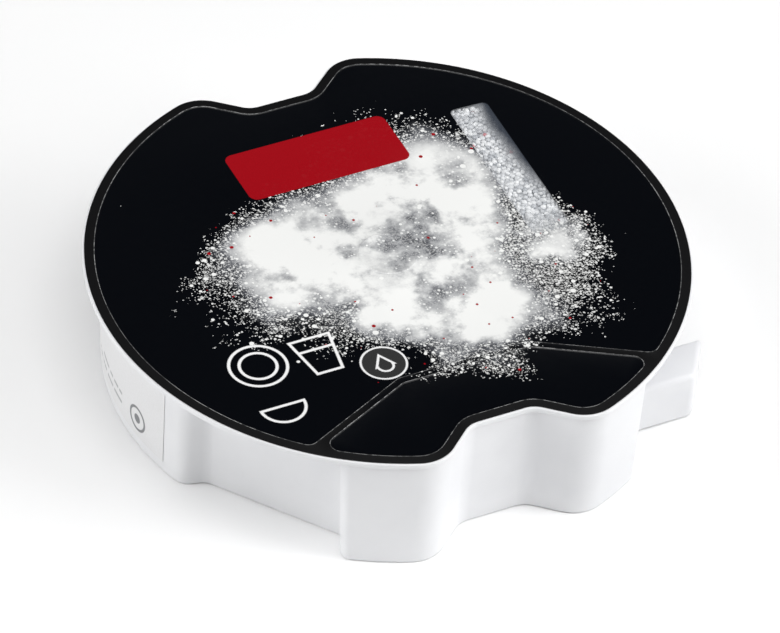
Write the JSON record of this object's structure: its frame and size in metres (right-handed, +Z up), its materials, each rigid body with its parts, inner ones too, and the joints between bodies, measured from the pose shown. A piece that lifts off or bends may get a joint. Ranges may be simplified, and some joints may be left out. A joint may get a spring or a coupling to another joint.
{
  "type": "dishwasher detergent cartridge",
  "caption": "Flat round detergent cartridge: white moulded tray with grip notches, front lobe, low lug and hub socket, closed by a black heat-sealed film with a clear window over granulate.",
  "frame": {"origin": "middle of the base, on the axis of the disc", "axes": "+Z up along the axis of the disc, towards the film; the two grip notches lie on +Y and -Y, and the lobe with the front chamber faces -Y; the lug reaches out towards +X"},
  "size_m": [0.161, 0.1528, 0.036],
  "materials": {
    "white_plastic": "satin moulded polypropylene",
    "printed_film": "black printed film with a soft gloss and an unprinted clear window",
    "granulate": "pale bluish white beads with a few red ones",
    "label_paper": "plain matt paper label"
  },
  "bodies": {
    "root": {"tray": "white_plastic", "lid_film": "printed_film", "granulate_main": "granulate", "granulate_front": "granulate", "side_label": "label_paper"}
  },
  "joints": []
}
